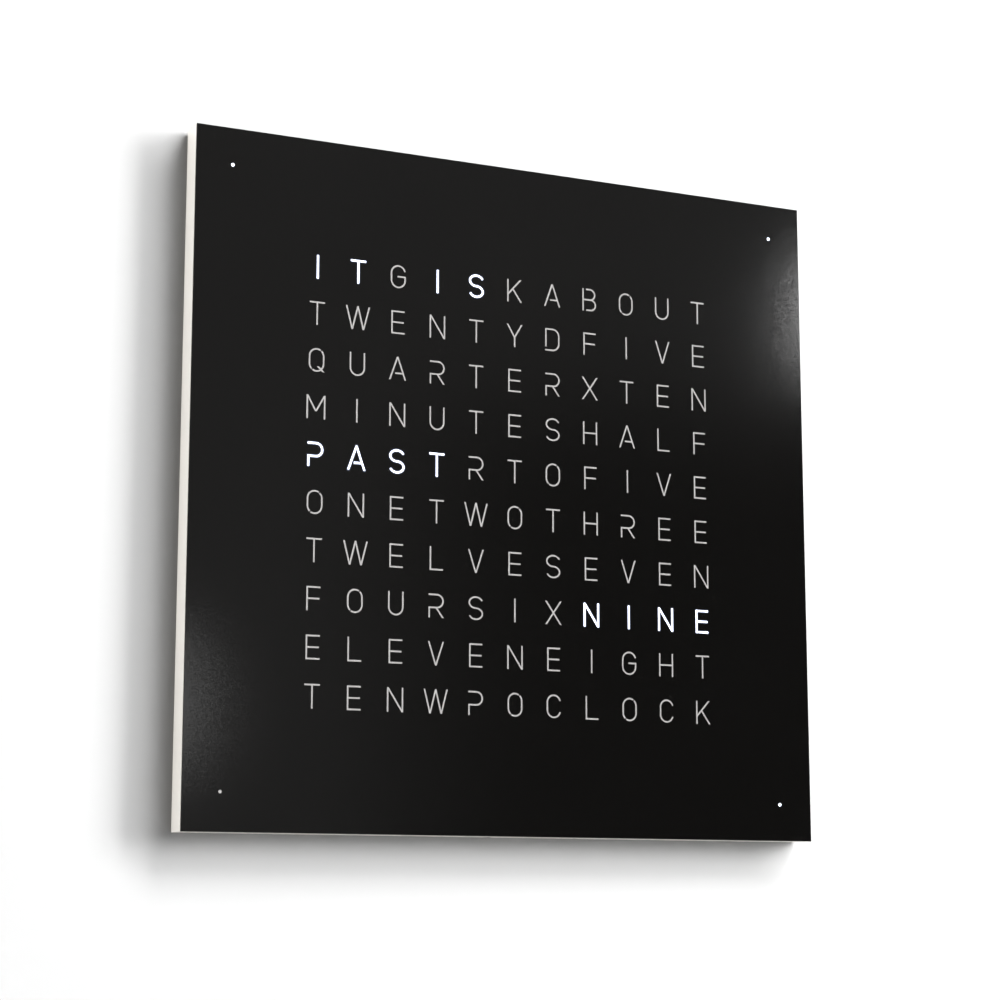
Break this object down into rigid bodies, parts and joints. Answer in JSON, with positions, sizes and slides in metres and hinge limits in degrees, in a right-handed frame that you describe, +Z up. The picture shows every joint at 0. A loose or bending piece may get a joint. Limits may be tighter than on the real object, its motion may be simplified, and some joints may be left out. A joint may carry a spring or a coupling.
{
  "type": "word clock",
  "caption": "Square wall clock that spells the time in lit stencil letters, with a black steel front on a shallow white board body.",
  "frame": {"origin": "centre of the back, in the plane of the wall", "axes": "+X to the right of the reader, +Z up, -Y out of the face towards the reader"},
  "size_m": [0.4508, 0.02, 0.45],
  "materials": {
    "black_powder_coat": "fine-textured black powder coat",
    "white_lacquered_board": "white satin lacquer on fibreboard",
    "opal_sheet": "opal acrylic sheet",
    "zinc_steel": "zinc-plated steel",
    "nickel_plate": "bright nickel plate",
    "black_moulding": "black moulded ABS",
    "white_moulding": "natural white nylon",
    "clear_moulding": "clear moulded lens",
    "grey_button": "grey moulded acetal",
    "white_circuit_board": "white solder resist on glass-epoxy board",
    "green_circuit_board": "green solder resist on glass-epoxy board",
    "led_package": "white LED package with a yellow phosphor well",
    "black_chip": "moulded chip package",
    "capacitor_case": "moulded tantalum capacitor",
    "lead_cover": "grey ribbon cable",
    "black_lead": "black twin lead",
    "ferrite": "ground ferrite",
    "copper_winding": "enamelled copper wire",
    "folded_steel": "folded zinc-plated steel",
    "grey_back_sheet": "light grey coated steel sheet"
  },
  "bodies": {
    "case": {"aerial_bar": "ferrite", "aerial_coil": "copper_winding", "aerial_saddles": "white_moulding", "back_cover": "grey_back_sheet", "back_cover_screws": "zinc_steel", "board_clips": "black_moulding", "board_headers": "black_moulding", "button_board": "green_circuit_board", "button_bracket": "folded_steel", "button_lead": "lead_cover", "button_lead_sockets": "white_moulding", "button_switches": "black_moulding", "cell_holder": "nickel_plate", "coin_cell": "nickel_plate", "controller_board": "green_circuit_board", "cover_magnets": "nickel_plate", "housing": "white_lacquered_board", "lead_sockets": "white_moulding", "led_board": "white_circuit_board", "led_drivers": "black_chip", "letter_diffuser": "opal_sheet", "letter_leds": "led_package", "light_grid": "black_moulding", "light_sensor": "black_chip", "minute_board_bottom_left": "white_circuit_board", "minute_board_bottom_right": "white_circuit_board", "minute_board_top_left": "white_circuit_board", "minute_board_top_right": "white_circuit_board", "minute_diffusers": "opal_sheet", "minute_leads": "lead_cover", "minute_leds": "led_package", "power_jack": "black_moulding", "power_jack_pin": "nickel_plate", "power_lead": "black_lead", "power_socket": "white_moulding", "processor": "black_chip", "quartz_crystal": "nickel_plate", "radio_board": "green_circuit_board", "radio_lead": "lead_cover", "sensor_lens": "clear_moulding", "smoothing_capacitors": "capacitor_case", "voltage_regulator": "black_chip"},
    "cover": {"front_cover": "black_powder_coat", "cover_pins": "zinc_steel"},
    "mode_button": {"mode_button": "grey_button", "mode_plunger": "black_moulding"},
    "hour_button": {"hour_button": "grey_button", "hour_plunger": "black_moulding"},
    "minute_button": {"minute_button": "grey_button", "minute_plunger": "black_moulding"}
  },
  "joints": [
    {"name": "cover_pull", "type": "slide", "parent": "case", "child": "cover", "axis": [0, -1, 0], "range_m": [0, 0.04]},
    {"name": "mode_press", "type": "slide", "parent": "case", "child": "mode_button", "axis": [-1, 0, 0], "range_m": [0, 0.0005], "stiffness_N_per_m": 400, "springref_m": -0.001},
    {"name": "hour_press", "type": "slide", "parent": "case", "child": "hour_button", "axis": [-1, 0, 0], "range_m": [0, 0.0005], "stiffness_N_per_m": 400, "springref_m": -0.001},
    {"name": "minute_press", "type": "slide", "parent": "case", "child": "minute_button", "axis": [-1, 0, 0], "range_m": [0, 0.0005], "stiffness_N_per_m": 400, "springref_m": -0.001}
  ]
}
